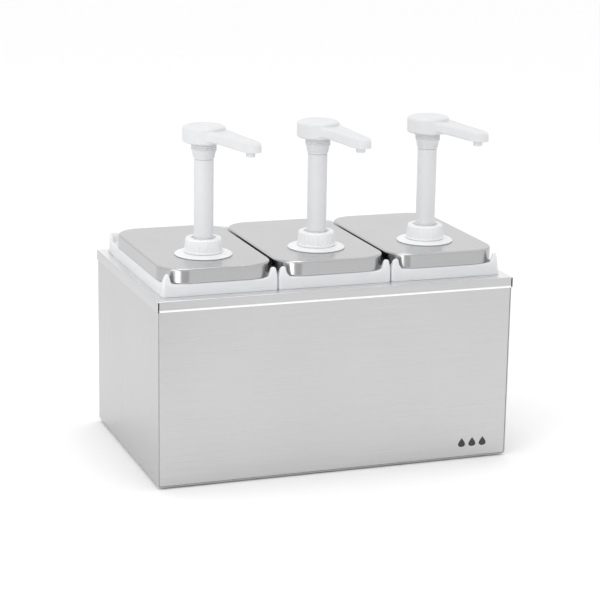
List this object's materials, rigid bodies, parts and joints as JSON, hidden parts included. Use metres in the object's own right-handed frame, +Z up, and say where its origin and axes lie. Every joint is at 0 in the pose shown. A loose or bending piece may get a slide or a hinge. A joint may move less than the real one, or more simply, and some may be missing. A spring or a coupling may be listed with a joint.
{
  "type": "condiment pump dispenser",
  "caption": "Countertop stainless cabinet holding lift-out plastic sauce containers side by side, each with a pressed steel lid and a spring-return hand pump whose spout swivels.",
  "frame": {"origin": "on the table, under the centre of the cabinet's bounding box", "axes": "+X to the user's right along the row of containers, +Y from front to back, +Z up"},
  "size_m": [0.4024, 0.2534, 0.3725],
  "materials": {
    "cabinet_steel": "brushed stainless sheet, grain along each panel's length",
    "lid_steel": "pressed stainless, satin top and polished skirt",
    "container_plastic": "white moulded plastic, slightly translucent",
    "pump_plastic": "white moulded plastic, soft sheen",
    "spring_steel": "bright drawn wire",
    "ball_steel": "polished steel balls",
    "foot_rubber": "matt black stick-on pads"
  },
  "bodies": {
    "cabinet": {"cabinet_wrapper": "cabinet_steel", "front_panel": "cabinet_steel", "back_panel": "cabinet_steel", "top_frame": "cabinet_steel", "foot_front_left": "foot_rubber", "foot_front_right": "foot_rubber", "foot_back_left": "foot_rubber", "foot_back_right": "foot_rubber"},
    "container_left": {"container_left": "container_plastic"},
    "lid_left": {"lid_left": "lid_steel", "mounting_flange_left": "pump_plastic", "retaining_nut_left": "pump_plastic", "collar_nut_left": "pump_plastic", "stem_guide_left": "pump_plastic", "pump_cylinder_left": "pump_plastic", "foot_valve_left": "pump_plastic", "dip_tube_left": "pump_plastic", "return_spring_left": "spring_steel"},
    "inlet_ball_left": {"inlet_ball_left": "ball_steel"},
    "piston_left": {"piston_left": "pump_plastic"},
    "outlet_ball_left": {"outlet_ball_left": "ball_steel"},
    "head_left": {"stem_left": "pump_plastic", "pump_head_left": "pump_plastic", "nozzle_left": "pump_plastic"},
    "container_middle": {"container_middle": "container_plastic"},
    "lid_middle": {"lid_middle": "lid_steel", "mounting_flange_middle": "pump_plastic", "retaining_nut_middle": "pump_plastic", "collar_nut_middle": "pump_plastic", "stem_guide_middle": "pump_plastic", "pump_cylinder_middle": "pump_plastic", "foot_valve_middle": "pump_plastic", "dip_tube_middle": "pump_plastic", "return_spring_middle": "spring_steel"},
    "inlet_ball_middle": {"inlet_ball_middle": "ball_steel"},
    "piston_middle": {"piston_middle": "pump_plastic"},
    "outlet_ball_middle": {"outlet_ball_middle": "ball_steel"},
    "head_middle": {"stem_middle": "pump_plastic", "pump_head_middle": "pump_plastic", "nozzle_middle": "pump_plastic"},
    "container_right": {"container_right": "container_plastic"},
    "lid_right": {"lid_right": "lid_steel", "mounting_flange_right": "pump_plastic", "retaining_nut_right": "pump_plastic", "collar_nut_right": "pump_plastic", "stem_guide_right": "pump_plastic", "pump_cylinder_right": "pump_plastic", "foot_valve_right": "pump_plastic", "dip_tube_right": "pump_plastic", "return_spring_right": "spring_steel"},
    "inlet_ball_right": {"inlet_ball_right": "ball_steel"},
    "piston_right": {"piston_right": "pump_plastic"},
    "outlet_ball_right": {"outlet_ball_right": "ball_steel"},
    "head_right": {"stem_right": "pump_plastic", "pump_head_right": "pump_plastic", "nozzle_right": "pump_plastic"}
  },
  "joints": [
    {"name": "container_lift_left", "type": "slide", "parent": "cabinet", "child": "container_left", "axis": [0, 0, 1], "range_m": [0, 0.2]},
    {"name": "lid_lift_left", "type": "slide", "parent": "container_left", "child": "lid_left", "axis": [0, 0, 1], "range_m": [0, 0.21]},
    {"name": "pump_press_left", "type": "slide", "parent": "lid_left", "child": "piston_left", "axis": [0, 0, -1], "range_m": [0, 0.084], "stiffness_N_per_m": 150, "springref_m": -0.03, "deforming": ["return_spring_left"]},
    {"name": "spout_swivel_left", "type": "hinge", "parent": "piston_left", "child": "head_left", "pos_m": [-0.128, -0.049, 0.36], "axis": [0, 0, 1], "continuous": true},
    {"name": "inlet_ball_rise_left", "type": "slide", "parent": "lid_left", "child": "inlet_ball_left", "axis": [0, 0, 1], "range_m": [0, 0.004]},
    {"name": "outlet_ball_rise_left", "type": "slide", "parent": "piston_left", "child": "outlet_ball_left", "axis": [0, 0, 1], "range_m": [0, 0.0035]},
    {"name": "container_lift_middle", "type": "slide", "parent": "cabinet", "child": "container_middle", "axis": [0, 0, 1], "range_m": [0, 0.2]},
    {"name": "lid_lift_middle", "type": "slide", "parent": "container_middle", "child": "lid_middle", "axis": [0, 0, 1], "range_m": [0, 0.21]},
    {"name": "pump_press_middle", "type": "slide", "parent": "lid_middle", "child": "piston_middle", "axis": [0, 0, -1], "range_m": [0, 0.084], "stiffness_N_per_m": 150, "springref_m": -0.03, "deforming": ["return_spring_middle"]},
    {"name": "spout_swivel_middle", "type": "hinge", "parent": "piston_middle", "child": "head_middle", "pos_m": [0, -0.049, 0.36], "axis": [0, 0, 1], "continuous": true},
    {"name": "inlet_ball_rise_middle", "type": "slide", "parent": "lid_middle", "child": "inlet_ball_middle", "axis": [0, 0, 1], "range_m": [0, 0.004]},
    {"name": "outlet_ball_rise_middle", "type": "slide", "parent": "piston_middle", "child": "outlet_ball_middle", "axis": [0, 0, 1], "range_m": [0, 0.0035]},
    {"name": "container_lift_right", "type": "slide", "parent": "cabinet", "child": "container_right", "axis": [0, 0, 1], "range_m": [0, 0.2]},
    {"name": "lid_lift_right", "type": "slide", "parent": "container_right", "child": "lid_right", "axis": [0, 0, 1], "range_m": [0, 0.21]},
    {"name": "pump_press_right", "type": "slide", "parent": "lid_right", "child": "piston_right", "axis": [0, 0, -1], "range_m": [0, 0.084], "stiffness_N_per_m": 150, "springref_m": -0.03, "deforming": ["return_spring_right"]},
    {"name": "spout_swivel_right", "type": "hinge", "parent": "piston_right", "child": "head_right", "pos_m": [0.128, -0.049, 0.36], "axis": [0, 0, 1], "continuous": true},
    {"name": "inlet_ball_rise_right", "type": "slide", "parent": "lid_right", "child": "inlet_ball_right", "axis": [0, 0, 1], "range_m": [0, 0.004]},
    {"name": "outlet_ball_rise_right", "type": "slide", "parent": "piston_right", "child": "outlet_ball_right", "axis": [0, 0, 1], "range_m": [0, 0.0035]}
  ]
}
